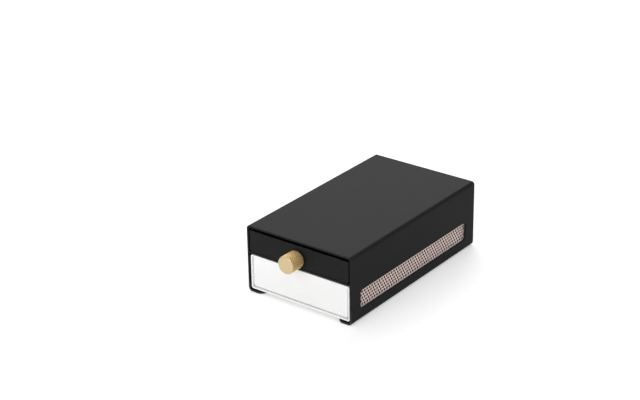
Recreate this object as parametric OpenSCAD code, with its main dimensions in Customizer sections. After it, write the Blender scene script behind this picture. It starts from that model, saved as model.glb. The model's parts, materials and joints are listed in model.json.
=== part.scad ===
// Matchbox holder: a folded steel sleeve that stands on two turned-in lips.
// The lower bay takes a large matchbox, whose striking strips show through windows in the walls.
// The upper bay takes a shallow drawer for burnt matches, with a knurled brass knob.
// Millimetres, +Z up, front towards -Y, origin on the floor under the middle of the whole object.

/* [Matchbox] */
// Width of the matchbox
refill_w = 66.4; // [60:0.1:80]
// Height of the matchbox
refill_h = 20.5; // [16:0.1:30]
// Length of the matchbox
refill_l = 111.5; // [90:0.5:140]
// Thickness of the cover's cardboard
cover_t = 0.7; // [0.5:0.1:1.2]
// Inside radius of the cover's creases
cover_crease = 0.4; // [0.2:0.1:1]
// Thickness of the tray's cardboard
tray_t = 0.8; // [0.5:0.1:1.2]
// Inside radius of the tray's creases
tray_crease = 0.4; // [0.2:0.1:1]
// Air between the tray's left side and the cover
tray_left_gap = 0.15; // [0.1:0.05:0.6]
// Air between the tray's right side and the cover
tray_right_gap = 1.25; // [0.2:0.05:1.6]
// Air below the tray, above the cover's bottom
tray_floor_gap = 0.45; // [0.2:0.05:0.6]
// Air above the tray, under the cover's top
tray_top_gap = 0.5; // [0.3:0.1:1.5]
// How far the tray's ends lie inside the cover
tray_inset = 1.15; // [0.5:0.05:4]
// Height of a striking strip
strip_h = 14; // [11.5:0.1:15]
// Thickness of a striking strip
strip_t = 0.15; // [0.1:0.01:0.25]
// Distance from a striking strip to the cover's ends
strip_margin = 1; // [0.5:0.5:6]

/* [Matches] */
// Side of the square match stick
stick_a = 1.9; // [1.6:0.05:2.2]
// How much shorter than the tray's inside a match is
stick_slack = 5; // [4:0.5:12]
// Thickness of the match head over the stick's corners
head_coat = 0.25; // [0.15:0.05:0.4]
// Length of the tapered part of the head
head_l = 3.5; // [2.5:0.1:5]
// Air between two match heads
match_gap = 0.15; // [0.1:0.05:0.4]
// Number of layers of matches
match_layers = 3; // [1:1:3]

/* [Steel sheet] */
// Thickness of the sleeve's coated sheet
sheet_t = 1.1; // [0.8:0.1:1.5]
// Inside radius of the two bends at the top
bend_in = 0.9; // [0.5:0.1:2]
// Inside radius of the two bends at the bottom
lip_bend_in = 1.4; // [0.8:0.1:2.5]
// Width of a bottom lip, from the outside of the wall
lip_w = 10; // [8:0.5:18]
// Plan radius of a lip's two free corners
lip_corner_r = 4; // [1:0.5:5]

/* [Striking window] */
// Height of the window in each wall
window_h = 11.1; // [8:0.1:11.4]
// Distance from the window to the front and the back of the wall
window_margin = 8.3; // [6:0.1:12]
// Radius of the window's corners
window_r = 2; // [1:0.1:4]

/* [Shelf] */
// Thickness of the shelf
shelf_t = 1.1; // [0.8:0.1:1.5]
// Inside radius of the bends of the shelf's tabs
tab_bend_in = 0.6; // [0.4:0.1:1.2]
// Height of the tab that stops the drawer, from under the shelf
stop_h = 10; // [6:0.5:12]
// Depth of the tabs that stop the matchbox, from the top of the shelf
catch_h = 7; // [5:0.5:9]
// Width of each tab that stops the matchbox
catch_w = 12; // [8:0.5:15]
// Width of the cut between two tabs
relief_w = 1.5; // [1:0.1:3]
// How far the walls run on behind the tabs
overhang = 5.6; // [4.5:0.1:12]

/* [Drawer] */
// Height of the drawer
drawer_h = 12.4; // [11:0.1:20]
// Thickness of the drawer's sheet
drawer_t = 0.8; // [0.6:0.1:1]
// Thickness of the drawer's front panel
panel_t = 1.1; // [0.8:0.1:2]
// Inside radius of the drawer's two long bends
drawer_bend_in = 0.8; // [0.4:0.1:2]

/* [Knob] */
// Diameter over the knurl
knob_d = 10.5; // [9:0.1:13]
// How far the knob stands out in front of the panel
knob_reach = 10.9; // [8.5:0.1:14]
// Diameter of the neck against the panel
neck_d = 7.6; // [6:0.1:8.5]
// Length of the neck
neck_l = 1.3; // [0.8:0.1:2]
// Bevel at both ends of the knurled part
knob_bevel = 0.5; // [0.4:0.1:0.9]
// Number of knurl ridges that wind each way
knurl_count = 30; // [20:1:34]
// Depth of the knurl
knurl_depth = 0.35; // [0.2:0.05:0.45]
// Angle between a knurl ridge and the knob's axis
knurl_lean = 32; // [20:1:40]
// Distance from the panel's middle down to the knob's axis
knob_drop = 0.8; // [0:0.1:1.2]
// Thread diameter of the knob's screw
screw_d = 4; // [3:0.5:5]
// Length of the screw inside the knob
screw_grip = 6; // [4:0.5:7]
// Diameter of the screw's head
screw_head_d = 7; // [6:0.1:7.4]
// Height of the screw's head
screw_head_h = 2.4; // [1.8:0.1:3]
// Width of the slot in the screw's head
screw_slot_w = 1; // [0.8:0.1:1.4]

/* [Clearances] */
// Air between the matchbox and each wall
refill_side_gap = 0.7; // [0.4:0.05:1.5]
// Air under the matchbox, above the lips
refill_floor_gap = 0.95; // [0.3:0.05:1]
// Air over the matchbox, under the shelf
refill_top_gap = 0.8; // [0.2:0.05:1]
// How far the matchbox's front lies behind the sleeve's
refill_recess = 0.5; // [0.2:0.1:2]
// Air between the matchbox and its stops
refill_stop_gap = 0.3; // [0.2:0.05:1]
// Air between the drawer and each wall
drawer_side_gap = 0.8; // [0.4:0.05:1.5]
// Air under the drawer, above the shelf
drawer_floor_gap = 0.3; // [0.2:0.05:1]
// Air over the drawer, under the top
drawer_top_gap = 1.8; // [0.6:0.1:4]
// Air between the drawer and its stop
drawer_stop_gap = 0.3; // [0.2:0.05:1]
// Air round the screw in the panel
screw_panel_gap = 0.2; // [0.1:0.05:0.5]
// Air round the screw in the knob's thread
screw_thread_gap = 0.05; // [0.02:0.01:0.1]

/* [Hidden] */
$fn = 48;
// How far a cutting shape runs past what it cuts
past = 1;

coat = [0.13, 0.13, 0.13];
coat_dark = [0.1, 0.1, 0.1];
brass = [0.83, 0.7, 0.47];
steel = [0.6, 0.6, 0.6];
card = [0.96, 0.96, 0.95];
strike = [0.5, 0.38, 0.37];
wood = [0.86, 0.74, 0.55];
head_red = [0.45, 0.16, 0.12];

// The sleeve follows from what it holds
inner_w = refill_w + 2 * refill_side_gap;
sleeve_w = inner_w + 2 * sheet_t;
refill_z = sheet_t + refill_floor_gap;
shelf_z = refill_z + refill_h + refill_top_gap;
drawer_z = shelf_z + shelf_t + drawer_floor_gap;
sleeve_h = drawer_z + drawer_h + drawer_top_gap + sheet_t;
bay_l = refill_recess + refill_l + refill_stop_gap;
sleeve_d = bay_l + shelf_t + overhang;
front_y = (knob_reach - sleeve_d) / 2;
window_z = refill_z + (refill_h - window_h) / 2;

// The drawer
drawer_w = inner_w - 2 * drawer_side_gap;
drawer_l = bay_l - drawer_stop_gap;
knob_z = drawer_z + drawer_h / 2 - knob_drop;

// The matchbox tray, pushed to the left inside its cover
tray_w = refill_w - 2 * cover_t - tray_left_gap - tray_right_gap;
tray_h = refill_h - 2 * cover_t - tray_floor_gap - tray_top_gap;
tray_l = refill_l - 2 * tray_inset;
tray_x = (tray_left_gap - tray_right_gap) / 2;
tray_y = refill_recess + tray_inset;
tray_z = refill_z + cover_t + tray_floor_gap;

// The matches lie across the tray, each layer in the hollows of the one below
head_r = stick_a * sqrt(2) / 2 + head_coat;
head_tail_r = head_r - head_coat / 2;
match_l = tray_w - 2 * tray_t - stick_slack;
match_pitch = 2 * head_r + match_gap;
match_rise = sqrt(pow(2 * head_r + match_gap / 2, 2) - pow(match_pitch / 2, 2));
match_count = floor((tray_l - 2 * tray_t - match_gap) / match_pitch);
match_z = tray_z + tray_t + match_gap / 2 + head_r;

// Moves a shape that is drawn from the sleeve's front edge to its place
module at_front() {
    translate([0, front_y, 0]) children();
}

// Extrudes an outline seen from the front, from the front backwards
module along_y(length) {
    translate([0, length, 0]) rotate([90, 0, 0]) linear_extrude(length) children();
}

// Extrudes an outline seen from the right, drawn as (y, z), along +X
module along_x(length) {
    rotate([90, 0, 90]) linear_extrude(length) children();
}

// What a square corner at the origin loses when it is rounded
module corner_waste(r) {
    difference() {
        translate([-r, -r]) square(r + past);
        translate([-r, -r]) circle(r);
    }
}

// A rectangle that stands on the X axis, with its own radius at the top and at the bottom
module rounded_outline(w, h, r_top, r_bottom) {
    difference() {
        translate([-w / 2, 0]) square([w, h]);
        for (side = [0, 1]) mirror([side, 0]) {
            if (r_top > 0) translate([w / 2, h]) corner_waste(r_top);
            if (r_bottom > 0) translate([w / 2, 0]) mirror([0, 1]) corner_waste(r_bottom);
        }
    }
}

// The open strip between the two bottom lips, with their rounded free corners
module lip_gap() {
    half = sleeve_w / 2 - lip_w;
    translate([0, 0, -past]) linear_extrude(past + sheet_t + past) {
        translate([-half, -past]) square([2 * half, sleeve_d + 2 * past]);
        for (side = [0, 1]) mirror([side, 0]) {
            translate([-half, 0]) mirror([0, 1]) corner_waste(lip_corner_r);
            translate([-half, sleeve_d]) corner_waste(lip_corner_r);
        }
    }
}

// The striking window in the right wall
module window_cut() {
    window_l = sleeve_d - 2 * window_margin;
    translate([sleeve_w / 2 - sheet_t - past, sleeve_d / 2, window_z])
        along_x(sheet_t + 2 * past) rounded_outline(window_l, window_h, window_r, window_r);
}

module sleeve() {
    color(coat) at_front() difference() {
        along_y(sleeve_d) difference() {
            rounded_outline(sleeve_w, sleeve_h, bend_in + sheet_t, lip_bend_in + sheet_t);
            translate([0, sheet_t])
                rounded_outline(inner_w, sleeve_h - 2 * sheet_t, bend_in, lip_bend_in);
        }
        lip_gap();
        for (side = [0, 1]) mirror([side, 0, 0]) window_cut();
    }
}

// A tab bent up from the back edge of the shelf, ending at the given height above its underside
module bent_tab(width, height) {
    r_out = tab_bend_in + shelf_t;
    translate([-width / 2, bay_l - tab_bend_in, 0]) along_x(width) {
        translate([0, r_out]) intersection() {
            difference() {
                circle(r_out);
                circle(tab_bend_in);
            }
            translate([0, -r_out]) square(r_out);
        }
        translate([tab_bend_in, r_out]) square([shelf_t, height - r_out]);
    }
}

// The middle of the shelf's back edge turns up and stops the drawer, its ends turn down and
// stop the matchbox, and a finger reaches in between them to push the tray forward
module shelf() {
    catch_x = inner_w / 2 - refill_side_gap - catch_w / 2;
    stop_w = 2 * (catch_x - catch_w / 2 - relief_w);
    color(coat) at_front() translate([0, 0, shelf_z]) {
        translate([-inner_w / 2, 0, 0]) cube([inner_w, bay_l - tab_bend_in, shelf_t]);
        bent_tab(stop_w, stop_h);
        for (side = [-1, 1]) translate([side * catch_x, 0, shelf_t]) mirror([0, 0, 1])
            bent_tab(catch_w, catch_h);
    }
}

// The drawer's outline from the front: square above, bent below
module drawer_outline() {
    rounded_outline(drawer_w, drawer_h, 0, drawer_bend_in + drawer_t);
}

// Floor and sides of the drawer, one folded channel
module drawer_tray() {
    color(coat_dark) at_front() translate([0, panel_t, drawer_z])
        along_y(drawer_l - panel_t - drawer_t) difference() {
            drawer_outline();
            translate([0, drawer_t])
                rounded_outline(drawer_w - 2 * drawer_t, drawer_h + past, 0, drawer_bend_in);
        }
}

module drawer_front() {
    color(coat) at_front() difference() {
        translate([0, 0, drawer_z]) along_y(panel_t) drawer_outline();
        translate([0, -past, knob_z]) rotate([-90, 0, 0])
            cylinder(h = panel_t + 2 * past, d = screw_d + 2 * screw_panel_gap);
    }
}

module drawer_back() {
    color(coat_dark) at_front() translate([0, drawer_l - drawer_t, drawer_z])
        along_y(drawer_t) drawer_outline();
}

// Cross-section of the knob through its ridges, which all lean to one side
module ridged_bar(length, twist) {
    crest_r = knob_d / 2;
    root_r = crest_r - knurl_depth;
    linear_extrude(length, twist = twist, slices = 8)
        polygon([for (i = [0 : 2 * knurl_count - 1])
            let (r = i % 2 == 0 ? crest_r : root_r, a = 180 * i / knurl_count)
            [r * cos(a), r * sin(a)]
        ]);
}

// Two sets of ridges that wind opposite ways cross to leave the diamonds of the knurl
module knurled_bar(length) {
    twist = length * tan(knurl_lean) / (PI * knob_d) * 360;
    intersection() {
        ridged_bar(length, twist);
        ridged_bar(length, -twist);
    }
}

// Half of a section that leaves a bar of the given length bevelled at both ends
module bevel_section(length) {
    slope = past + knob_bevel;
    polygon([
        [0, 0],
        [knob_d / 2 - knob_bevel, 0],
        [knob_d / 2 + past, slope],
        [knob_d / 2 + past, length - slope],
        [knob_d / 2 - knob_bevel, length],
        [0, length]
    ]);
}

module knob() {
    grip_l = knob_reach - neck_l;
    color(brass) at_front() translate([0, 0, knob_z]) rotate([90, 0, 0]) difference() {
        union() {
            cylinder(h = neck_l, d = neck_d);
            translate([0, 0, neck_l]) intersection() {
                knurled_bar(grip_l);
                rotate_extrude() bevel_section(grip_l);
            }
        }
        translate([0, 0, -past])
            cylinder(h = screw_grip + 2 * past, d = screw_d + 2 * screw_thread_gap);
    }
}

// Cheese-head screw: through the panel from inside the drawer, into the knob
module knob_screw() {
    color(steel) at_front() translate([0, panel_t, knob_z]) rotate([90, 0, 0]) {
        cylinder(h = panel_t + screw_grip, d = screw_d);
        translate([0, 0, -screw_head_h]) difference() {
            cylinder(h = screw_head_h, d = screw_head_d);
            translate([-screw_head_d, -screw_slot_w / 2, -past])
                cube([2 * screw_head_d, screw_slot_w, past + screw_head_h / 2]);
        }
    }
}

// Open cardboard tube with creased corners
module box_cover() {
    cover_r = cover_crease + cover_t;
    color(card) at_front() translate([0, refill_recess, refill_z]) along_y(refill_l) difference() {
        rounded_outline(refill_w, refill_h, cover_r, cover_r);
        translate([0, cover_t]) rounded_outline(refill_w - 2 * cover_t, refill_h - 2 * cover_t,
            cover_crease, cover_crease);
    }
}

// Striking strip on the right side of the cover
module striker() {
    strip_y = refill_recess + strip_margin;
    color(strike) at_front()
        translate([refill_w / 2, strip_y, refill_z + (refill_h - strip_h) / 2])
            cube([strip_t, refill_l - 2 * strip_margin, strip_h]);
}

module striker_right() {
    striker();
}

module striker_left() {
    mirror([1, 0, 0]) striker();
}

// Open-topped cardboard tray that slides in the cover
module box_tray() {
    inside_w = tray_w - 2 * tray_t;
    color(card) at_front() translate([tray_x, tray_y, tray_z]) difference() {
        along_y(tray_l) rounded_outline(tray_w, tray_h, 0, tray_crease + tray_t);
        translate([0, tray_t, tray_t]) along_y(tray_l - 2 * tray_t)
            rounded_outline(inside_w, tray_h + past, 0, tray_crease);
    }
}

// Puts a match wherever one lies, with the middle of its stick at the origin and the head to +X
module each_match() {
    at_front() for (layer = [0 : match_layers - 1], row = [0 : match_count - 1 - layer % 2])
        translate([
            tray_x,
            tray_y + tray_t + match_gap / 2 + head_r + (row + layer % 2 / 2) * match_pitch,
            match_z + layer * match_rise
        ]) children();
}

module match_stick() {
    cube([match_l, stick_a, stick_a], center = true);
}

module match_sticks() {
    color(wood) each_match() match_stick();
}

// A ball with a tapered tail, dipped over the end of the stick
module match_heads() {
    color(head_red) each_match() difference() {
        translate([match_l / 2 - head_coat, 0, 0]) {
            sphere(head_r, $fn = 24);
            rotate([0, -90, 0]) cylinder(h = head_l, r1 = head_r, r2 = head_tail_r, $fn = 24);
        }
        match_stick();
    }
}

sleeve();
shelf();
drawer_tray();
drawer_front();
drawer_back();
knob();
knob_screw();
box_cover();
striker_left();
striker_right();
box_tray();
match_sticks();
match_heads();
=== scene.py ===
"""Dresses the packed matchbox holder: coated steel, turned brass, printed cardboard and matches."""

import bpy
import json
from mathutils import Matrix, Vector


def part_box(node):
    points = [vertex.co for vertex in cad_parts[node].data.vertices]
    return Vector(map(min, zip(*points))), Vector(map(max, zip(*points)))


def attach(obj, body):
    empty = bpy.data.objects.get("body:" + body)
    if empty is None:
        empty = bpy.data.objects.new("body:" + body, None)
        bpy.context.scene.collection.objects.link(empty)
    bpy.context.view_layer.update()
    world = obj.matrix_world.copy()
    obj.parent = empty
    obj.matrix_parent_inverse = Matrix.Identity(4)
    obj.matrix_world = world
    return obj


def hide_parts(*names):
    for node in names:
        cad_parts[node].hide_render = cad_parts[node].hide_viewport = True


bl_info = {
    "name": "Matchbox Holder",
    "version": (1, 0, 0),
    "blender": (4, 5, 0),
    "location": "View3D > Sidebar > Matchbox Holder",
    "description": "Coats the steel, turns the knob, prints the matchbox and lays the matches in it",
    "category": "Object",
}

import json
import math

import bmesh
import bpy
from bpy.props import FloatProperty, FloatVectorProperty, IntProperty, PointerProperty
from mathutils import Matrix, Vector

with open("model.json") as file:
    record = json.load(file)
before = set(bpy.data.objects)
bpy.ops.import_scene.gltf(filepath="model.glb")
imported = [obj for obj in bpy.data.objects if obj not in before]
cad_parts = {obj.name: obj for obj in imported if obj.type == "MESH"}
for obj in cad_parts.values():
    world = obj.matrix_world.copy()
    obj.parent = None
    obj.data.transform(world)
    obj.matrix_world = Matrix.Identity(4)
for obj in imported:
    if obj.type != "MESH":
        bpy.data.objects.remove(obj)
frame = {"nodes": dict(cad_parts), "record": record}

MM = 0.001
SHARP = math.radians(35)
FLAT = math.radians(0.5)

# Places that the source's own sizes give, in metres
FRONT_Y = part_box("sleeve")[0].y
KNOB_LOW, KNOB_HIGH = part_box("knob")
KNOB_Z = (KNOB_LOW.z + KNOB_HIGH.z) / 2
KNOB_R = (KNOB_HIGH.x - KNOB_LOW.x) / 2
KNOB_REACH = FRONT_Y - KNOB_LOW.y
STICKS_LOW, STICKS_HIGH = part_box("match_sticks")
HEADS_LOW, HEADS_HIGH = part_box("match_heads")


def colour(name, about, default):
    """A colour that the user may change."""
    return FloatVectorProperty(
        name=name, description=about, subtype="COLOR", size=3, min=0, max=1, default=default
    )


def length(name, about, default):
    """A length that the user may change."""
    return FloatProperty(
        name=name, description=about, subtype="DISTANCE", unit="LENGTH", precision=5, min=0,
        default=default
    )


def share(name, about, default, highest=1.0):
    """A plain factor that the user may change."""
    return FloatProperty(
        name=name, description=about, subtype="FACTOR", min=0, max=highest, default=default
    )


def point(name, about, default):
    """A place that the user may change."""
    return FloatVectorProperty(
        name=name, description=about, subtype="TRANSLATION", unit="LENGTH", size=3, default=default
    )


class CoatSettings(bpy.types.PropertyGroup):
    """The black powder coat on the sleeve, the shelf and the drawer."""

    tone: colour("Coat", "Colour of the powder coat", (0.0138, 0.0138, 0.014))
    # The rubbed coat colour is partly real wear and partly a painted highlight on the edges and on the
    # low front faces.
    rubbed_and_highlit: colour("Rubbed coat", "Colour of the coat where edges are handled", (0.045, 0.045, 0.046))
    # Standing edges: painted light, a lighter coat on the front faces near the floor.
    low_front_highlight: share("Standing edges", "How far the front edges are rubbed near the floor", 0.75)
    roughness: share("Roughness", "Roughness of the coat", 0.5)
    gloss: share("Gloss", "Strength of the coat's reflection", 0.044)
    grain: length("Grain size", "Size of the coat's fine grain", 0.28 * MM)
    grain_height: length("Grain height", "Height of the coat's fine grain", 0.006 * MM)
    sleeve_edge: length("Sleeve edge", "Rounding of the sleeve's edges", 0.1 * MM)
    drawer_edge: length("Drawer edge", "Rounding of the drawer's edges", 0.2 * MM)


class KnobSettings(bpy.types.PropertyGroup):
    """The turned brass knob and its screw."""

    brass: colour("Brass", "Colour of the turned brass", (0.62, 0.491, 0.293))
    # Knurl: a brighter brass, partly cleaner pressed metal and partly painted light against the knurl's
    # own shade.
    knurl: colour("Knurl", "Colour of the brass in the knurl", (1.0, 0.75, 0.36))
    # Crease: darker brass deep in the knurl, partly patina and partly painted shade.
    crease: colour("Crease", "Colour of the brass in the knurl's creases", (0.34, 0.22, 0.08))
    steel: colour("Steel", "Colour of the screw", (0.56, 0.57, 0.58))
    ridges: IntProperty(
        name="Ridges", description="Knurl ridges that wind each way", min=12, max=60, default=30
    )
    lean: FloatProperty(
        name="Lean", description="Angle between a ridge and the knob's axis", subtype="ANGLE",
        unit="ROTATION", min=0.1, max=1.2, default=math.radians(32)
    )
    depth: length("Depth", "Depth of the knurl", 0.35 * MM)
    bevel: length("Bevel", "Bevel at both ends of the knurl", 0.5 * MM)
    neck_radius: length("Neck radius", "Radius of the plain neck", 3.8 * MM)
    neck_length: length("Neck length", "Length of the plain neck", 1.3 * MM)
    thread_radius: length("Thread radius", "Radius of the hole for the screw", 2.05 * MM)
    thread_depth: length("Thread depth", "Depth of the hole for the screw", 7 * MM)


class BoxSettings(bpy.types.PropertyGroup):
    """The cardboard matchbox and its striking strips."""

    card: colour("Card", "Colour of the white cardboard", (0.86, 0.86, 0.86))
    core: colour("Core", "Colour of the cardboard's cut edges", (0.93, 0.92, 0.9))
    ground: colour("Strip ground", "Colour of the strip between the dots", (1.0, 0.82, 0.77))
    dots: colour("Strip dots", "Colour of the striking dots", (0.035, 0.004, 0.006))
    edge: length("Card edge", "Rounding of the cardboard's edges", 0.06 * MM)
    dot_rows: IntProperty(name="Rows", description="Rows of dots on a strip", min=1, default=6)
    row_gap: length("Row distance", "Distance between two rows of dots", 1.815 * MM)
    dot_gap: length("Dot distance", "Distance between two dots in a row", 2.27 * MM)
    dot_radius: length("Dot radius", "Radius of a dot", 0.81 * MM)
    first_row: length("First row", "Height of the lowest row above the floor", 7.93 * MM)
    dot_shift: length("Dot shift", "How far the dots lie to the back in their rows", 0.9 * MM)


class MatchSettings(bpy.types.PropertyGroup):
    """The matches in the tray."""

    wood: colour("Wood", "Colour of the match sticks", (0.74, 0.56, 0.34))
    streak: colour("Wood grain", "Colour of the darker grain", (0.52, 0.35, 0.18))
    head: colour("Head", "Colour of the match heads", (0.2, 0.035, 0.025))
    rows: IntProperty(
        name="Matches", description="Matches in the lowest layer", min=1, max=60, default=32
    )
    layers: IntProperty(name="Layers", description="Layers of matches", min=1, max=3, default=3)
    side: length("Stick side", "Side of the square stick", 1.9 * MM)
    pitch: length("Pitch", "Distance between two matches of a layer", 3.337 * MM)
    rise: length("Rise", "Distance between two layers", 2.797 * MM)
    head_length: length("Head length", "Length of the tapered part of the head", 3.5 * MM)
    scatter: length("Scatter", "How far a match lies off its place, along itself", 0.9 * MM)
    seed: IntProperty(name="Seed", description="Seed of the scatter", min=0, default=7)


class StageSettings(bpy.types.PropertyGroup):
    """The floor, the light and the camera."""

    floor: colour("Floor", "Colour of the floor, as it lights the object", (0.85, 0.85, 0.85))
    shade: share("Shade", "Share of the floor's white that its light and shadow make", 0.82)
    glow: share("Glow", "Share of the floor's white that no shadow takes away", 0.355)
    far_glow: share("Far glow", "The same share where the floor lies far from the lamps", 0.6)
    sky: share("Sky", "Strength of the light from all round", 0.66, 4.0)
    key: FloatProperty(name="Key", description="Key lamp", unit="POWER", min=0, default=6.4)
    key_place: point("Key place", "Where the key lamp hangs", (-0.59, 0.79, 0.7))
    fill: FloatProperty(name="Fill", description="Front lamp", unit="POWER", min=0, default=5.9)
    fill_place: point("Fill place", "Where the front lamp hangs", (0.1, -1.05, 0.42))
    camera_place: point("Camera", "Where the camera stands", (0.479366, -0.657566, 0.420526))
    yaw: FloatProperty(
        name="Yaw", description="Turn of the camera about the upright", subtype="ANGLE",
        default=0.6555
    )
    pitch: FloatProperty(
        name="Pitch", description="How far the camera looks down", subtype="ANGLE",
        default=0.4334
    )
    roll: FloatProperty(
        name="Roll", description="Turn of the camera about its own axis", subtype="ANGLE",
        default=0.016
    )
    lens: FloatProperty(
        name="Lens", description="Focal length on a 36 mm wide sensor", unit="CAMERA",
        default=91.51
    )


class Graph:
    """Adds nodes to a tree and joins them."""

    def __init__(self, tree):
        self.tree = tree

    def feed(self, socket, value):
        """Joins an output to an input, or sets the input's own value."""
        if isinstance(value, bpy.types.NodeSocket):
            self.tree.links.new(value, socket)
        elif value is not None:
            socket.default_value = value

    def node(self, kind, values=None, **settings):
        """A node with its settings made and its inputs fed by name or number."""
        made = self.tree.nodes.new(kind)
        for name, value in settings.items():
            setattr(made, name, value)
        for key, value in (values or {}).items():
            self.feed(made.inputs[key], value)
        return made

    def math(self, operation, *values, clamp=False):
        """The result of a Math node."""
        made = self.node("ShaderNodeMath", operation=operation, use_clamp=clamp)
        for socket, value in zip(made.inputs, values):
            self.feed(socket, value)
        return made.outputs[0]

    def vector(self, operation, *values):
        """The vector result of a Vector Math node."""
        made = self.node("ShaderNodeVectorMath", operation=operation)
        for socket, value in zip(made.inputs, values):
            self.feed(socket, value)
        return made.outputs[0]

    def span(self, value, low, high, new_low, new_high):
        """A value taken from one range to another, and held inside it."""
        made = self.node("ShaderNodeMapRange", clamp=True)
        for socket, number in zip(made.inputs, (value, low, high, new_low, new_high)):
            self.feed(socket, number)
        return made.outputs[0]

    def blend(self, factor, first, second):
        """Two colours mixed by a factor."""
        made = self.node("ShaderNodeMix", data_type="RGBA", clamp_factor=True)
        self.feed(made.inputs["Factor"], factor)
        for name, value in (("A", first), ("B", second)):
            socket = next(s for s in made.inputs if s.name == name and s.type == "RGBA")
            self.feed(socket, value)
        return next(s for s in made.outputs if s.type == "RGBA")

    def noise(self, place, size, detail=3.0, roughness=0.5):
        """Noise of the given feature size, in metres."""
        made = self.node(
            "ShaderNodeTexNoise",
            {"Vector": place, "Scale": 1 / size, "Detail": detail, "Roughness": roughness},
        )
        return made.outputs["Fac"]

    def group(self, tree, **values):
        """A node group placed in this tree, with its inputs fed by name."""
        made = self.tree.nodes.new("ShaderNodeGroup")
        made.node_tree = tree
        for name, value in values.items():
            self.feed(made.inputs[name.replace("_", " ")], value)
        return made.outputs


def rgba(tone):
    """A colour with full alpha."""
    return (tone[0], tone[1], tone[2], 1.0)


def new_group(name, inputs, outputs):
    """An empty shader group with the named sockets, its graph and its inner ends."""
    tree = bpy.data.node_groups.new(name, "ShaderNodeTree")
    for label, kind, value in inputs:
        socket = tree.interface.new_socket(label, in_out="INPUT", socket_type=kind)
        if value is not None:
            socket.default_value = value
    for label, kind in outputs:
        tree.interface.new_socket(label, in_out="OUTPUT", socket_type=kind)
    graph = Graph(tree)
    start = graph.node("NodeGroupInput")
    end = graph.node("NodeGroupOutput")
    return graph, start.outputs, end.inputs


FLOAT = "NodeSocketFloat"
VECTOR = "NodeSocketVector"


def grain_group():
    """A fine grain in low waves, as powder coat, cardboard and head compound have."""
    name = "Fine grain"
    if name in bpy.data.node_groups:
        return bpy.data.node_groups[name]
    graph, given, result = new_group(
        name,
        [("Place", VECTOR, None), ("Size", FLOAT, 0.0003), ("Waves", FLOAT, 0.3)],
        [("Height", FLOAT), ("Blotch", FLOAT)],
    )
    scale = graph.math("DIVIDE", 1.0, given["Size"])
    fine = graph.node(
        "ShaderNodeTexNoise",
        {"Vector": given["Place"], "Scale": scale, "Detail": 2.0, "Roughness": 0.6},
    ).outputs["Fac"]
    wave_scale = graph.math("DIVIDE", scale, 6.0)
    wave = graph.node(
        "ShaderNodeTexNoise",
        {"Vector": given["Place"], "Scale": wave_scale, "Detail": 1.0, "Roughness": 0.4},
    ).outputs["Fac"]
    graph.feed(result["Height"], graph.math("MULTIPLY_ADD", wave, given["Waves"], fine))
    blotch_scale = graph.math("DIVIDE", scale, 60.0)
    blotch = graph.node(
        "ShaderNodeTexNoise",
        {"Vector": given["Place"], "Scale": blotch_scale, "Detail": 3.0, "Roughness": 0.6},
    ).outputs["Fac"]
    graph.feed(result["Blotch"], graph.span(blotch, 0.3, 0.7, 0.0, 1.0))
    return graph.tree


def edge_wear_and_highlight_group():
    """Where a rounded edge is rubbed or carries a painted highlight: the edge mark, broken up by noise.
    """
    name = "Edge wear"
    if name in bpy.data.node_groups:
        return bpy.data.node_groups[name]
    graph, given, result = new_group(
        name,
        [("Place", VECTOR, None), ("Edge", FLOAT, 0.0), ("Amount", FLOAT, 0.5)],
        [("Mask", FLOAT)],
    )
    patches = graph.noise(given["Place"], 3.5 * MM, 4.0, 0.65)
    level = graph.math("SUBTRACT", 1.0, given["Amount"])
    high = graph.math("ADD", level, 0.25)
    rubbed_and_highlit = graph.span(patches, level, high, 0.0, 1.0)
    graph.feed(result["Mask"], graph.math("MULTIPLY", rubbed_and_highlit, given["Edge"]))
    return graph.tree


def turning_group():
    """Fine rings that a lathe leaves round an axis along Y at the given height."""
    name = "Turning marks"
    if name in bpy.data.node_groups:
        return bpy.data.node_groups[name]
    graph, given, result = new_group(
        name,
        [("Place", VECTOR, None), ("Axis height", FLOAT, 0.0), ("Ring", FLOAT, 0.0001)],
        [("Height", FLOAT), ("Streak", FLOAT)],
    )
    place = graph.node("ShaderNodeSeparateXYZ", {0: given["Place"]}).outputs
    up = graph.math("SUBTRACT", place["Z"], given["Axis height"])
    flat = graph.node("ShaderNodeCombineXYZ", {"X": place["X"], "Y": up}).outputs[0]
    radius = graph.node("ShaderNodeVectorMath", {0: flat}, operation="LENGTH").outputs["Value"]
    rings = graph.node("ShaderNodeCombineXYZ", {"X": radius, "Y": place["Y"]}).outputs[0]
    scale = graph.math("DIVIDE", 1.0, given["Ring"])
    marks = graph.node(
        "ShaderNodeTexNoise", {"Vector": rings, "Scale": scale, "Detail": 3.0, "Roughness": 0.7}
    ).outputs["Fac"]
    graph.feed(result["Height"], marks)
    graph.feed(result["Streak"], graph.span(marks, 0.35, 0.65, 0.0, 1.0))
    return graph.tree


def start_material(name, **fixed):
    """A material with one Principled shader, its graph, its shader and the object's own place."""
    material = bpy.data.materials.new(name)
    material.use_nodes = True
    graph = Graph(material.node_tree)
    shader = material.node_tree.nodes["Principled BSDF"]
    for label, value in fixed.items():
        shader.inputs[label.replace("_", " ")].default_value = value
    place = graph.node("ShaderNodeTexCoord").outputs["Object"]
    return material, graph, shader, place


def mark(graph, name):
    """The value that the mesh carries under this name."""
    return graph.node("ShaderNodeAttribute", attribute_name=name).outputs["Fac"]


def raise_surface(graph, shader, height, distance, strength=1.0):
    """Bumps the shader's surface by a height."""
    bump = graph.node(
        "ShaderNodeBump", {"Height": height, "Distance": distance, "Strength": strength}
    )
    graph.feed(shader.inputs["Normal"], bump.outputs["Normal"])


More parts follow.
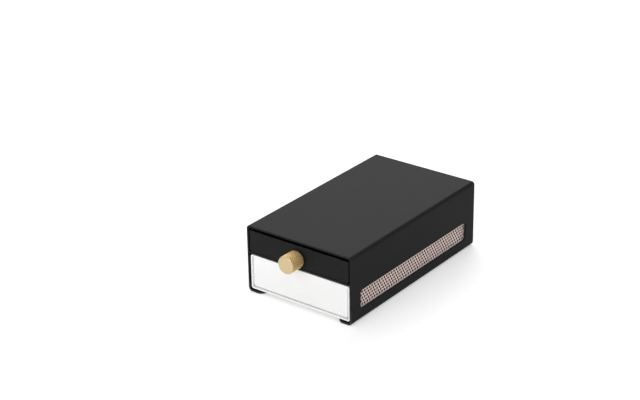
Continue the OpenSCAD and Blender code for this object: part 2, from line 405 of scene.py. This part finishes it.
def powder_coat():
    """Black satin powder coat with a fine grain. Its edges are lighter, partly from rubbing and partly
    as a painted highlight, and its front faces near the floor are lighter as painted light.
    """
    name = "powder_coat_black"
    if name in bpy.data.materials:
        return bpy.data.materials[name]
    settings = bpy.context.scene.holder_coat
    material, graph, shader, place = start_material(name, Specular_IOR_Level=settings.gloss)
    grain = graph.group(grain_group(), Place=place, Size=settings.grain, Waves=0.8)
    # Edge mark: rubbed wear plus a painted highlight on the rounded edges.
    wear_and_highlight = graph.group(edge_wear_and_highlight_group(), Place=place, Edge=mark(graph, "edge"), Amount=0.55)["Mask"]
    height = graph.node("ShaderNodeSeparateXYZ", {0: place}).outputs["Z"]
    # Front faces below about 10 mm get the lighter coat as painted light.
    low = graph.span(height, 2.5 * MM, 10 * MM, settings.low_front_highlight, 0.0)
    wear_and_highlight = graph.math("MAXIMUM", wear_and_highlight, graph.math("MULTIPLY", mark(graph, "cut"), low))
    lighter = [1.12 * tone for tone in settings.tone]
    clouds = graph.blend(grain["Blotch"], rgba(settings.tone), rgba(lighter))
    graph.feed(shader.inputs["Base Color"], graph.blend(wear_and_highlight, clouds, rgba(settings.rubbed_and_highlit)))
    rough = graph.span(grain["Blotch"], 0, 1, settings.roughness - 0.01, settings.roughness + 0.01)
    smoothed = graph.math("MULTIPLY", wear_and_highlight, 0.12)
    graph.feed(shader.inputs["Roughness"], graph.math("SUBTRACT", rough, smoothed))
    raise_surface(graph, shader, grain["Height"], settings.grain_height)
    return material


def turned_brass():
    """Satin brass with lathe marks. The knurl is brighter, partly cleaner pressed metal and partly
    painted light against its own shade, and its creases are darker, partly patina and partly painted
    shade.
    """
    settings = bpy.context.scene.holder_knob
    material, graph, shader, place = start_material("turned_brass", Metallic=1.0)
    rings = graph.group(
        turning_group(), Place=place, Axis_height=KNOB_Z, Ring=0.12 * MM
    )
    groove = mark(graph, "groove")
    spots = graph.noise(place, 1.6 * MM, 3.0, 0.6)
    pressed = graph.span(groove, 0.02, 0.25, 0.0, 1.0)
    pressed = graph.math("MULTIPLY", pressed, graph.span(spots, 0.3, 0.7, 0.75, 1.1), clamp=True)
    dulled = [0.9 * tone for tone in settings.brass]
    plain = graph.blend(rings["Streak"], rgba(settings.brass), rgba(dulled))
    # Brighter brass over the knurl: partly cleaner pressed metal, partly painted light.
    metal = graph.blend(pressed, plain, rgba(settings.knurl))
    # Darker creases in the knurl: partly patina, partly painted shade.
    crease = graph.span(groove, 0.6, 0.95, 0.0, 1.0)
    graph.feed(shader.inputs["Base Color"], graph.blend(crease, metal, rgba(settings.crease)))
    satin = graph.span(rings["Streak"], 0, 1, 0.3, 0.38)
    graph.feed(shader.inputs["Roughness"], graph.math("MULTIPLY_ADD", pressed, 0.22, satin))
    raise_surface(graph, shader, rings["Height"], 0.004 * MM)
    return material


def plated_steel():
    """Zinc-plated steel with lathe marks round the screw's axis."""
    settings = bpy.context.scene.holder_knob
    material, graph, shader, place = start_material("plated_steel", Metallic=1.0)
    rings = graph.group(
        turning_group(), Place=place, Axis_height=KNOB_Z, Ring=0.15 * MM
    )
    haze = graph.noise(place, 0.9 * MM, 4.0, 0.7)
    milky = [0.8 * tone for tone in settings.steel]
    tone = graph.blend(graph.span(haze, 0.35, 0.65, 0, 1), rgba(settings.steel), rgba(milky))
    graph.feed(shader.inputs["Base Color"], tone)
    graph.feed(shader.inputs["Roughness"], graph.span(rings["Streak"], 0, 1, 0.26, 0.4))
    raise_surface(graph, shader, rings["Height"], 0.005 * MM)
    return material


def white_card():
    """White cardboard with a faint fibre, and a warmer core where it is cut."""
    name = "white_card"
    if name in bpy.data.materials:
        return bpy.data.materials[name]
    settings = bpy.context.scene.holder_box
    material, graph, shader, place = start_material(name, Specular_IOR_Level=0.3)
    grain = graph.group(grain_group(), Place=place, Size=0.22 * MM, Waves=1.2)
    long_way = graph.vector("MULTIPLY", place, (1.0, 0.25, 1.0))
    fibres = graph.noise(long_way, 0.12 * MM, 4.0, 0.7)
    dull = [0.965 * tone for tone in settings.card]
    skin = graph.blend(grain["Blotch"], rgba(settings.card), rgba(dull))
    dark_core = [0.95 * tone for tone in settings.core]
    core = graph.blend(graph.span(fibres, 0.35, 0.65, 0, 1), rgba(settings.core), rgba(dark_core))
    graph.feed(shader.inputs["Base Color"], graph.blend(mark(graph, "cut"), skin, core))
    graph.feed(shader.inputs["Roughness"], graph.span(fibres, 0.3, 0.7, 0.62, 0.78))
    raise_surface(graph, shader, grain["Height"], 0.008 * MM)
    return material


def striking_print():
    """Staggered rows of dark striking dots on a pale strip."""
    settings = bpy.context.scene.holder_box
    material, graph, shader, place = start_material("striking_print", Specular_IOR_Level=0.3)
    grit = graph.noise(place, 0.11 * MM, 3.0, 0.7)
    wobble = graph.noise(place, 0.6 * MM, 2.0, 0.5)
    axes = graph.node("ShaderNodeSeparateXYZ", {0: place}).outputs
    rows = graph.math("DIVIDE", graph.math("SUBTRACT", axes["Z"], settings.first_row), settings.row_gap)
    row = graph.math("ROUND", rows)
    up = graph.math("MULTIPLY", graph.math("SUBTRACT", rows, row), settings.row_gap)
    stagger = graph.math("MULTIPLY", graph.math("FLOORED_MODULO", row, 2.0), 0.5)
    from_front = graph.math("SUBTRACT", axes["Y"], settings.dot_shift)
    along = graph.math("ADD", graph.math("DIVIDE", from_front, settings.dot_gap), stagger)
    side = graph.math("SUBTRACT", along, graph.math("ROUND", along))
    aside = graph.math("MULTIPLY", side, settings.dot_gap)
    flat = graph.node("ShaderNodeCombineXYZ", {"X": aside, "Y": up}).outputs[0]
    distance = graph.node("ShaderNodeVectorMath", {0: flat}, operation="LENGTH").outputs["Value"]
    ragged = graph.math("MULTIPLY_ADD", graph.math("SUBTRACT", wobble, 0.5), 0.3 * MM, distance)
    soft = 0.09 * MM
    dot = graph.span(ragged, settings.dot_radius - soft, settings.dot_radius + soft, 1.0, 0.0)
    first = graph.math("GREATER_THAN", row, -0.5)
    last = graph.math("LESS_THAN", row, settings.dot_rows - 0.5)
    dot = graph.math("MULTIPLY", dot, graph.math("MULTIPLY", first, last))
    speckle = graph.span(grit, 0.3, 0.7, 0.0, 1.0)
    paler = [0.02 + 1.3 * tone for tone in settings.dots]
    dark = graph.blend(speckle, rgba(settings.dots), rgba(paler))
    duller = [0.93 * tone for tone in settings.ground]
    ground = graph.blend(speckle, rgba(settings.ground), rgba(duller))
    graph.feed(shader.inputs["Base Color"], graph.blend(dot, ground, dark))
    graph.feed(shader.inputs["Roughness"], graph.span(dot, 0, 1, 0.65, 0.85))
    height = graph.math("MULTIPLY", dot, graph.math("ADD", speckle, 1.0))
    raise_surface(graph, shader, height, 0.012 * MM)
    return material


def match_wood():
    """Pale aspen with grain along the stick, and each stick of its own tone."""
    settings = bpy.context.scene.holder_matches
    material, graph, shader, place = start_material("match_wood", Specular_IOR_Level=0.25)
    own = mark(graph, "tint")
    drift = graph.node("ShaderNodeCombineXYZ", {"Z": graph.math("MULTIPLY", own, 0.7)}).outputs[0]
    shifted = graph.vector("ADD", place, drift)
    long_way = graph.vector("MULTIPLY", shifted, (0.06, 1.0, 1.0))
    grain = graph.noise(long_way, 0.35 * MM, 5.0, 0.65)
    streaks = graph.span(grain, 0.38, 0.68, 0.0, 0.75)
    pale = [1.12 * tone for tone in settings.wood]
    wood = graph.blend(own, rgba(settings.wood), rgba(pale))
    graph.feed(shader.inputs["Base Color"], graph.blend(streaks, wood, rgba(settings.streak)))
    graph.feed(shader.inputs["Roughness"], graph.span(grain, 0.3, 0.7, 0.55, 0.75))
    raise_surface(graph, shader, grain, 0.03 * MM)
    return material


def head_compound():
    """Dull grainy compound of the match heads."""
    settings = bpy.context.scene.holder_matches
    material, graph, shader, place = start_material("head_compound", Specular_IOR_Level=0.3)
    grain = graph.group(grain_group(), Place=place, Size=0.16 * MM, Waves=1.5)
    own = graph.math("MULTIPLY", mark(graph, "tint"), 0.6)
    mottle = graph.math("MULTIPLY_ADD", grain["Blotch"], 0.4, own)
    darker = [0.6 * tone for tone in settings.head]
    graph.feed(shader.inputs["Base Color"], graph.blend(mottle, rgba(settings.head), rgba(darker)))
    graph.feed(shader.inputs["Roughness"], graph.span(grain["Blotch"], 0, 1, 0.6, 0.75))
    raise_surface(graph, shader, grain["Height"], 0.05 * MM)
    return material


def link_object(name, mesh):
    """A new object in the scene with this mesh."""
    made = bpy.data.objects.new(name, mesh)
    bpy.context.scene.collection.objects.link(made)
    return made


def settle(piece, name=None):
    """Turns a piece with its modifiers into a plain mesh."""
    bpy.context.view_layer.update()
    graph = bpy.context.evaluated_depsgraph_get()
    mesh = bpy.data.meshes.new_from_object(
        piece.evaluated_get(graph), preserve_all_data_layers=True, depsgraph=graph
    )
    piece.modifiers.clear()
    piece.data = mesh
    mesh.name = name or piece.name
    return piece


def stand_for(piece, node):
    """Lets a finished piece take the place of a CAD node."""
    bodies = frame["record"]["behaviour"]["bodies"]
    body = next(name for name, nodes in bodies.items() if node in nodes)
    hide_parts(node)
    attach(piece, body)


def mark_faces(mesh, label, chosen):
    """Writes 1 on the chosen faces of a bmesh and 0 on the others."""
    layer = mesh.faces.layers.float[label]
    for face in mesh.faces:
        face[layer] = 1.0 if chosen(face) else 0.0


def softened(node, name, radius, material, is_cut=None):
    """A merged copy of a CAD node with its sharp edges rounded and marked."""
    mesh = bmesh.new()
    mesh.from_mesh(frame["nodes"][node].data)
    mesh.faces.layers.float.new("edge")
    mesh.faces.layers.float.new("cut")
    bmesh.ops.remove_doubles(mesh, verts=mesh.verts, dist=1e-6)
    bmesh.ops.dissolve_limit(mesh, angle_limit=FLAT, verts=mesh.verts, edges=mesh.edges)
    mark_faces(mesh, "edge", lambda face: False)
    mark_faces(mesh, "cut", is_cut or (lambda face: False))
    sharp = [edge for edge in mesh.edges if edge.calc_face_angle(0) > SHARP]
    rounded = bmesh.ops.bevel(
        mesh, geom=sharp, offset=radius, offset_type="OFFSET", segments=3, profile=0.5,
        affect="EDGES", clamp_overlap=True, loop_slide=True
    )
    edge_layer = mesh.faces.layers.float["edge"]
    for face in rounded["faces"]:
        face[edge_layer] = 1.0
    for face in mesh.faces:
        face.smooth = True
    data = bpy.data.meshes.new(name)
    mesh.to_mesh(data)
    mesh.free()
    data.materials.append(material)
    piece = link_object(name, data)
    weights = piece.modifiers.new("weights", "WEIGHTED_NORMAL")
    weights.mode = "FACE_AREA"
    weights.keep_sharp = False
    return settle(piece)


class COATED_OT_sleeve(bpy.types.Operator):
    """Coat the sleeve and the shelf"""

    bl_idname = "holder.coat_sleeve"
    bl_label = "Coat the sleeve and the shelf"

    def execute(self, context):
        settings = context.scene.holder_coat
        for node, radius in (("sleeve", settings.sleeve_edge), ("shelf", settings.drawer_edge)):
            piece = softened(
                node, node + "_coated", radius, powder_coat(), lambda face: face.normal.y < -0.5
            )
            stand_for(piece, node)
        return {"FINISHED"}


class COATED_OT_drawer(bpy.types.Operator):
    """Coat the drawer's tray and its two end panels"""

    bl_idname = "holder.coat_drawer"
    bl_label = "Coat the drawer"

    def execute(self, context):
        settings = context.scene.holder_coat
        for node in ("drawer_tray", "drawer_front", "drawer_back"):
            piece = softened(node, node + "_coated", settings.drawer_edge, powder_coat())
            stand_for(piece, node)
        return {"FINISHED"}


def knob_profile(settings):
    """Distance from the panel and radius along the knob's section, from its hole to its face."""
    grip = KNOB_REACH - settings.neck_length
    crest = KNOB_R
    shoulder = crest - settings.bevel
    profile = [(settings.thread_depth, 0.0)]
    profile.append((settings.thread_depth, settings.thread_radius))
    profile.append((0.0, settings.thread_radius))
    profile.append((0.0, settings.neck_radius - 0.1 * MM))
    profile.append((0.1 * MM, settings.neck_radius))
    profile.append((settings.neck_length, settings.neck_radius))
    profile.append((settings.neck_length, shoulder))
    steps = 5
    for i in range(steps):
        lift = settings.bevel * (i + 0.5) / steps
        profile.append((settings.neck_length + lift, shoulder + lift))
    rows = 78
    start = settings.neck_length + settings.bevel
    band = grip - 2 * settings.bevel
    for i in range(rows + 1):
        profile.append((start + band * i / rows, crest))
    for i in range(steps):
        lift = settings.bevel * (i + 0.5) / steps
        profile.append((start + band + lift, crest - lift))
    round_off = 0.06 * MM
    profile.append((KNOB_REACH - 0.25 * round_off, shoulder - 0.1 * round_off))
    profile.append((KNOB_REACH, shoulder - round_off))
    rings = 6
    for i in range(1, rings):
        profile.append((KNOB_REACH, (shoulder - round_off) * (1 - i / rings)))
    profile.append((KNOB_REACH, 0.0))
    return profile


def skin(mesh, rings, around):
    """Joins each ring of points to the next with faces, where a single point is a tip."""
    for low, high in zip(rings, rings[1:]):
        for i in range(around):
            j = (i + 1) % around
            corners = [low[i % len(low)], low[j % len(low)], high[j % len(high)], high[i % len(high)]]
            mesh.faces.new(list(dict.fromkeys(corners)))
    bmesh.ops.recalc_face_normals(mesh, faces=mesh.faces)


def lathe(profile, around):
    """A closed solid of revolution about the knob's axis, pointing to the front."""
    mesh = bmesh.new()
    rings = []
    for reach, radius in profile:
        y = FRONT_Y - reach
        if radius == 0:
            rings.append([mesh.verts.new((0, y, KNOB_Z))])
            continue
        ring = []
        for i in range(around):
            angle = 2 * math.pi * i / around
            place = (radius * math.cos(angle), y, KNOB_Z + radius * math.sin(angle))
            ring.append(mesh.verts.new(place))
        rings.append(ring)
    skin(mesh, rings, around)
    return mesh


def knurl_tree(material):
    """Presses two crossing sets of ridges into a turned bar, and stores how deep each point lies."""
    tree = bpy.data.node_groups.new("Diamond knurl", "GeometryNodeTree")
    tree.interface.new_socket("Geometry", in_out="INPUT", socket_type="NodeSocketGeometry")
    for label in ("Ridges", "Lean", "Depth", "Crest radius", "Start"):
        tree.interface.new_socket(label, in_out="INPUT", socket_type=FLOAT)
    tree.interface.new_socket("Axis", in_out="INPUT", socket_type=VECTOR)
    tree.interface.new_socket("Geometry", in_out="OUTPUT", socket_type="NodeSocketGeometry")
    graph = Graph(tree)
    given = graph.node("NodeGroupInput").outputs
    place = graph.node("GeometryNodeInputPosition").outputs[0]
    own = graph.vector("SUBTRACT", place, given["Axis"])
    axes = graph.node("ShaderNodeSeparateXYZ", {0: own}).outputs
    flat = graph.node("ShaderNodeCombineXYZ", {"X": axes["X"], "Y": axes["Z"]}).outputs[0]
    length_node = graph.node("ShaderNodeVectorMath", {0: flat}, operation="LENGTH")
    radius = graph.math("MAXIMUM", length_node.outputs["Value"], 1e-6)
    angle = graph.math("ARCTAN2", axes["Z"], axes["X"])
    turns = graph.math("MULTIPLY", graph.math("DIVIDE", angle, 2 * math.pi), given["Ridges"])
    around = graph.math("MULTIPLY", given["Crest radius"], 2 * math.pi)
    per_metre = graph.math("DIVIDE", given["Ridges"], around)
    reach = graph.math("SUBTRACT", graph.math("MULTIPLY", axes["Y"], -1.0), given["Start"])
    lean = graph.math("TANGENT", given["Lean"])
    slide = graph.math("MULTIPLY", graph.math("MULTIPLY", reach, lean), per_metre)
    left = graph.math("PINGPONG", graph.math("ADD", turns, slide), 0.5)
    right = graph.math("PINGPONG", graph.math("SUBTRACT", turns, slide), 0.5)
    cut = graph.math("MULTIPLY", graph.math("MAXIMUM", left, right), 2.0)
    floor = graph.math("MULTIPLY", cut, given["Depth"])
    pressed = graph.math("MINIMUM", radius, graph.math("SUBTRACT", given["Crest radius"], floor))
    ratio = graph.math("DIVIDE", pressed, radius)
    x = graph.math("MULTIPLY", axes["X"], ratio)
    z = graph.math("MULTIPLY", axes["Z"], ratio)
    moved = graph.node("ShaderNodeCombineXYZ", {"X": x, "Y": axes["Y"], "Z": z}).outputs[0]
    depth = graph.math("DIVIDE", graph.math("SUBTRACT", radius, pressed), given["Depth"], clamp=True)
    stored = graph.node(
        "GeometryNodeStoreNamedAttribute",
        {"Geometry": given["Geometry"], "Name": "groove", "Value": depth},
        data_type="FLOAT", domain="POINT"
    )
    placed = graph.node(
        "GeometryNodeSetPosition",
        {"Geometry": stored.outputs[0], "Position": graph.vector("ADD", moved, given["Axis"])},
    )
    real = graph.node("GeometryNodeRealizeInstances", {0: placed.outputs[0]})
    dressed = graph.node(
        "GeometryNodeSetMaterial", {"Geometry": real.outputs[0], "Material": material}
    )
    graph.node("NodeGroupOutput", {0: dressed.outputs[0]})
    return tree


def run_tree(piece, tree, **values):
    """Runs a geometry tree on a piece with these inputs and makes the result a plain mesh."""
    modifier = piece.modifiers.new(tree.name, "NODES")
    modifier.node_group = tree
    inputs = {
        item.name: item.identifier
        for item in tree.interface.items_tree
        if item.item_type == "SOCKET" and item.in_out == "INPUT"
    }
    for name, value in values.items():
        modifier[inputs[name.replace("_", " ")]] = value
    return settle(piece)


class TURNED_OT_knob(bpy.types.Operator):
    """Turn the knob and press its diamond knurl"""

    bl_idname = "holder.turn_knob"
    bl_label = "Turn the knob"

    def execute(self, context):
        settings = context.scene.holder_knob
        mesh = lathe(knob_profile(settings), 8 * settings.ridges)
        for face in mesh.faces:
            face.smooth = True
        for edge in mesh.edges:
            edge.smooth = edge.calc_face_angle(0) < SHARP
        data = bpy.data.meshes.new("knob_turned")
        mesh.to_mesh(data)
        mesh.free()
        piece = link_object("knob_turned", data)
        run_tree(
            piece, knurl_tree(turned_brass()), Ridges=float(settings.ridges), Lean=settings.lean,
            Depth=settings.depth, Crest_radius=KNOB_R, Start=settings.neck_length,
            Axis=(0.0, FRONT_Y, KNOB_Z)
        )
        stand_for(piece, "knob")
        return {"FINISHED"}


class TURNED_OT_screw(bpy.types.Operator):
    """Finish the screw that holds the knob"""

    bl_idname = "holder.finish_screw"
    bl_label = "Finish the screw"

    def execute(self, context):
        piece = softened("knob_screw", "knob_screw_plated", 0.12 * MM, plated_steel())
        stand_for(piece, "knob_screw")
        return {"FINISHED"}


class CARDBOARD_OT_box(bpy.types.Operator):
    """Cut and crease the matchbox's cover and tray"""

    bl_idname = "holder.fold_box"
    bl_label = "Fold the matchbox"

    def execute(self, context):
        settings = context.scene.holder_box
        cover = softened(
            "box_cover", "box_cover_card", settings.edge, white_card(),
            lambda face: abs(face.normal.y) > 0.9
        )
        stand_for(cover, "box_cover")
        tray_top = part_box("box_tray")[1].z - 0.1 * MM
        tray = softened(
            "box_tray", "box_tray_card", settings.edge, white_card(),
            lambda face: face.normal.z > 0.9 and face.calc_center_median().z > tray_top
        )
        stand_for(tray, "box_tray")
        return {"FINISHED"}


class CARDBOARD_OT_strips(bpy.types.Operator):
    """Print the two striking strips"""

    bl_idname = "holder.print_strips"
    bl_label = "Print the striking strips"

    def execute(self, context):
        printed = striking_print()
        for node in ("striker_left", "striker_right"):
            piece = softened(node, node + "_printed", 0.04 * MM, printed)
            stand_for(piece, node)
        return {"FINISHED"}


def stick_mesh(settings, half):
    """One square match stick with slightly broken edges, in the middle of its length."""
    mesh = bmesh.new()
    bmesh.ops.create_cube(mesh, size=1.0)
    size = Matrix.Diagonal((2 * half, settings.side, settings.side, 1.0))
    bmesh.ops.transform(mesh, matrix=size, verts=mesh.verts)
    bmesh.ops.bevel(
        mesh, geom=list(mesh.edges), offset=0.08 * MM, segments=1, profile=0.5, affect="EDGES"
    )
    return mesh


def head_mesh(settings, half, radius):
    """One match head: a ball over the stick's end with a tapered tail."""
    mesh = bmesh.new()
    middle = half - 0.25 * MM
    tail = middle - settings.head_length
    profile = [(tail + 0.15 * MM, 0.0), (tail, 0.8 * radius), (tail + 0.5 * MM, 0.93 * radius)]
    profile += [(tail + 0.5 * settings.head_length, 0.985 * radius), (middle, radius)]
    for step in range(1, 6):
        angle = math.pi / 2 * step / 6
        profile.append((middle + radius * math.sin(angle), radius * math.cos(angle)))
    profile.append((middle + radius, 0.0))
    around = 14
    rings = []
    for x, r in profile:
        count = around if r else 1
        turns = [2 * math.pi * i / around for i in range(count)]
        rings.append([mesh.verts.new((x, r * math.cos(a), r * math.sin(a))) for a in turns])
    skin(mesh, rings, around)
    for face in mesh.faces:
        face.smooth = True
    return mesh


def layer_tree(material):
    """Lays copies of one match in layers, each layer in the hollows of the one below."""
    tree = bpy.data.node_groups.new("Layered matches " + material.name, "GeometryNodeTree")
    tree.interface.new_socket("Geometry", in_out="INPUT", socket_type="NodeSocketGeometry")
    for label in ("Rows", "Layers", "Pitch", "Rise", "Scatter"):
        tree.interface.new_socket(label, in_out="INPUT", socket_type=FLOAT)
    tree.interface.new_socket("Seed", in_out="INPUT", socket_type="NodeSocketInt")
    tree.interface.new_socket("First", in_out="INPUT", socket_type=VECTOR)
    tree.interface.new_socket("Geometry", in_out="OUTPUT", socket_type="NodeSocketGeometry")
    graph = Graph(tree)
    given = graph.node("NodeGroupInput").outputs
    number = graph.node("GeometryNodeInputIndex").outputs[0]
    layer = graph.math("FLOOR", graph.math("DIVIDE", number, given["Rows"]))
    row = graph.math("SUBTRACT", number, graph.math("MULTIPLY", layer, given["Rows"]))
    odd = graph.math("FLOORED_MODULO", layer, 2.0)
    along = graph.math("ADD", row, graph.math("MULTIPLY", odd, 0.5))
    y = graph.math("MULTIPLY", along, given["Pitch"])
    z = graph.math("MULTIPLY", layer, given["Rise"])
    spot = graph.node("ShaderNodeCombineXYZ", {"Y": y, "Z": z}).outputs[0]
    count = graph.math("MULTIPLY", given["Rows"], given["Layers"])
    points = graph.node(
        "GeometryNodePoints", {"Count": count, "Position": graph.vector("ADD", spot, given["First"])}
    )
    last = graph.math("GREATER_THAN", along, graph.math("SUBTRACT", given["Rows"], 0.9))
    kept = graph.node(
        "GeometryNodeDeleteGeometry", {"Geometry": points.outputs[0], "Selection": last},
        domain="POINT"
    )
    back = graph.math("MULTIPLY", given["Scatter"], -1.0)
    slip = graph.node(
        "FunctionNodeRandomValue", {"Seed": given["Seed"]}, data_type="FLOAT"
    )
    graph.feed(slip.inputs[2], back)
    graph.feed(slip.inputs[3], given["Scatter"])
    offset = graph.node("ShaderNodeCombineXYZ", {"X": slip.outputs[1]}).outputs[0]
    slid = graph.node(
        "GeometryNodeSetPosition", {"Geometry": kept.outputs[0], "Offset": offset}
    )
    tint = graph.node(
        "FunctionNodeRandomValue", {"Seed": graph.math("ADD", given["Seed"], 1.0)},
        data_type="FLOAT"
    )
    stored = graph.node(
        "GeometryNodeStoreNamedAttribute",
        {"Geometry": slid.outputs[0], "Name": "tint", "Value": tint.outputs[1]},
        data_type="FLOAT", domain="POINT"
    )
    lean = graph.node(
        "FunctionNodeRandomValue", {"Seed": graph.math("ADD", given["Seed"], 2.0)},
        data_type="FLOAT_VECTOR"
    )
    tilt = 0.0012
    graph.feed(lean.inputs[0], (0.0, -tilt, -tilt))
    graph.feed(lean.inputs[1], (0.0, tilt, tilt))
    laid = graph.node(
        "GeometryNodeInstanceOnPoints",
        {"Points": stored.outputs[0], "Instance": given["Geometry"], "Rotation": lean.outputs[0]},
    )
    real = graph.node("GeometryNodeRealizeInstances", {0: laid.outputs[0]})
    dressed = graph.node(
        "GeometryNodeSetMaterial", {"Geometry": real.outputs[0], "Material": material}
    )
    graph.node("NodeGroupOutput", {0: dressed.outputs[0]})
    return tree


class WOODEN_OT_matches(bpy.types.Operator):
    """Lay the matches in the tray"""

    bl_idname = "holder.lay_matches"
    bl_label = "Lay the matches"

    def execute(self, context):
        settings = context.scene.holder_matches
        half = (STICKS_HIGH.x - STICKS_LOW.x) / 2
        middle = (STICKS_HIGH.x + STICKS_LOW.x) / 2
        head_radius = HEADS_HIGH.x - middle - (half - 0.25 * MM)
        first = (
            middle,
            STICKS_LOW.y + settings.side / 2,
            STICKS_LOW.z + settings.side / 2,
        )
        parts = (
            ("match_sticks", stick_mesh(settings, half), match_wood()),
            ("match_heads", head_mesh(settings, half, head_radius), head_compound()),
        )
        for node, mesh, material in parts:
            data = bpy.data.meshes.new(node + "_laid")
            mesh.to_mesh(data)
            mesh.free()
            piece = link_object(node + "_laid", data)
            run_tree(
                piece, layer_tree(material), Rows=float(settings.rows),
                Layers=float(settings.layers), Pitch=settings.pitch, Rise=settings.rise,
                Scatter=settings.scatter, Seed=settings.seed, First=first
            )
            stand_for(piece, node)
        return {"FINISHED"}


def floor_material(settings):
    """Matt pale floor, which looks white and keeps only faint shadows."""
    material, graph, shader, place = start_material("pale_floor", Specular_IOR_Level=0.0)
    rays = graph.node("ShaderNodeLightPath").outputs
    seen = graph.math("MAXIMUM", rays["Is Camera Ray"], rays["Is Glossy Ray"])
    seen = graph.math("MAXIMUM", seen, rays["Is Transmission Ray"])
    shade = (settings.shade, settings.shade, settings.shade, 1.0)
    graph.feed(shader.inputs["Base Color"], graph.blend(seen, rgba(settings.floor), shade))
    shader.inputs["Roughness"].default_value = 1.0
    away = graph.node("ShaderNodeVectorMath", {0: place}, operation="LENGTH").outputs["Value"]
    level = graph.span(away, 0.25, 0.75, settings.glow, settings.far_glow)
    glow = graph.node("ShaderNodeEmission", {"Strength": graph.math("MULTIPLY", seen, level)})
    lifted = graph.node("ShaderNodeAddShader", {0: shader.outputs[0], 1: glow.outputs[0]})
    out = next(node for node in material.node_tree.nodes if node.type == "OUTPUT_MATERIAL")
    graph.feed(out.inputs["Surface"], lifted.outputs[0])
    return material


def light_panel(name, place, aim, width, height, power):
    """A soft rectangular lamp that looks at a point."""
    data = bpy.data.lights.new(name, "AREA")
    data.shape = "RECTANGLE"
    data.size = width
    data.size_y = height
    data.energy = power
    lamp = bpy.data.objects.new(name, data)
    bpy.context.scene.collection.objects.link(lamp)
    lamp.location = place
    way = Vector(aim) - Vector(place)
    lamp.rotation_mode = "QUATERNION"
    lamp.rotation_quaternion = way.to_track_quat("-Z", "Y")
    return lamp


def white_world(settings):
    """Even light from all round, seen as plain white by the camera."""
    world = bpy.data.worlds.new("studio")
    world.use_nodes = True
    bpy.context.scene.world = world
    graph = Graph(world.node_tree)
    background = world.node_tree.nodes["Background"]
    seen = graph.node("ShaderNodeLightPath").outputs["Is Camera Ray"]
    graph.feed(background.inputs["Color"], (1.0, 1.0, 1.0, 1.0))
    graph.feed(background.inputs["Strength"], graph.span(seen, 0, 1, settings.sky, 1.0))


def camera_turn(yaw, pitch, roll):
    """The camera's rotation from its yaw, its look down and its roll."""
    forward = Vector((
        -math.sin(yaw) * math.cos(pitch), math.cos(yaw) * math.cos(pitch), -math.sin(pitch)
    ))
    right = Vector((math.cos(yaw), math.sin(yaw), 0.0))
    down = forward.cross(right)
    across = math.cos(roll) * right + math.sin(roll) * down
    below = -math.sin(roll) * right + math.cos(roll) * down
    return Matrix((across, -below, -forward)).transposed()


class STAGE_OT_set(bpy.types.Operator):
    """Set up the floor, the light and the camera"""

    bl_idname = "holder.set_stage"
    bl_label = "Set the stage"

    def execute(self, context):
        settings = context.scene.holder_stage
        mesh = bmesh.new()
        bmesh.ops.create_grid(mesh, x_segments=1, y_segments=1, size=3.0)
        data = bpy.data.meshes.new("floor")
        mesh.to_mesh(data)
        mesh.free()
        data.materials.append(floor_material(settings))
        link_object("floor", data)
        white_world(settings)
        middle = (0.0, 0.0, 0.02)
        light_panel("key", settings.key_place, middle, 0.8, 0.7, settings.key)
        light_panel("fill", settings.fill_place, middle, 1.0, 0.8, settings.fill)
        data = bpy.data.cameras.new("camera")
        data.lens = settings.lens
        data.sensor_fit = "HORIZONTAL"
        data.sensor_width = 36.0
        data.clip_start = 0.01
        data.clip_end = 20.0
        camera = bpy.data.objects.new("camera", data)
        context.scene.collection.objects.link(camera)
        turn = camera_turn(settings.yaw, settings.pitch, settings.roll)
        camera.matrix_world = Matrix.Translation(settings.camera_place) @ turn.to_4x4()
        context.scene.camera = camera
        context.scene.view_settings.view_transform = "Standard"
        return {"FINISHED"}


STEPS = (
    COATED_OT_sleeve,
    COATED_OT_drawer,
    TURNED_OT_knob,
    TURNED_OT_screw,
    CARDBOARD_OT_box,
    CARDBOARD_OT_strips,
    WOODEN_OT_matches,
    STAGE_OT_set,
)

GROUPS = (
    ("holder_coat", CoatSettings),
    ("holder_knob", KnobSettings),
    ("holder_box", BoxSettings),
    ("holder_matches", MatchSettings),
    ("holder_stage", StageSettings),
)


class HOLDER_PT_panel(bpy.types.Panel):
    """Lists the pieces of the matchbox holder and their settings"""

    bl_label = "Matchbox Holder"
    bl_idname = "HOLDER_PT_panel"
    bl_space_type = "VIEW_3D"
    bl_region_type = "UI"
    bl_category = "Matchbox Holder"

    def draw(self, context):
        for step in STEPS:
            self.layout.operator(step.bl_idname)
        for name, group in GROUPS:
            box = self.layout.box()
            box.label(text=group.__doc__)
            for key in group.__annotations__:
                box.prop(getattr(context.scene, name), key)


def register():
    """Adds the settings, the operators and the panel to the running program."""
    for name, group in GROUPS:
        bpy.utils.register_class(group)
        setattr(bpy.types.Scene, name, PointerProperty(type=group))
    for step in STEPS:
        bpy.utils.register_class(step)
    bpy.utils.register_class(HOLDER_PT_panel)


def unregister():
    """Takes the panel, the operators and the settings out again."""
    bpy.utils.unregister_class(HOLDER_PT_panel)
    for step in reversed(STEPS):
        bpy.utils.unregister_class(step)
    for name, group in reversed(GROUPS):
        delattr(bpy.types.Scene, name)
        bpy.utils.unregister_class(group)


def main():
    """Dresses the whole part."""
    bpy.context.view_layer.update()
    register()
    for step in STEPS:
        area, name = step.bl_idname.split(".")
        getattr(getattr(bpy.ops, area), name)()


if __name__ == "__main__":
    main()
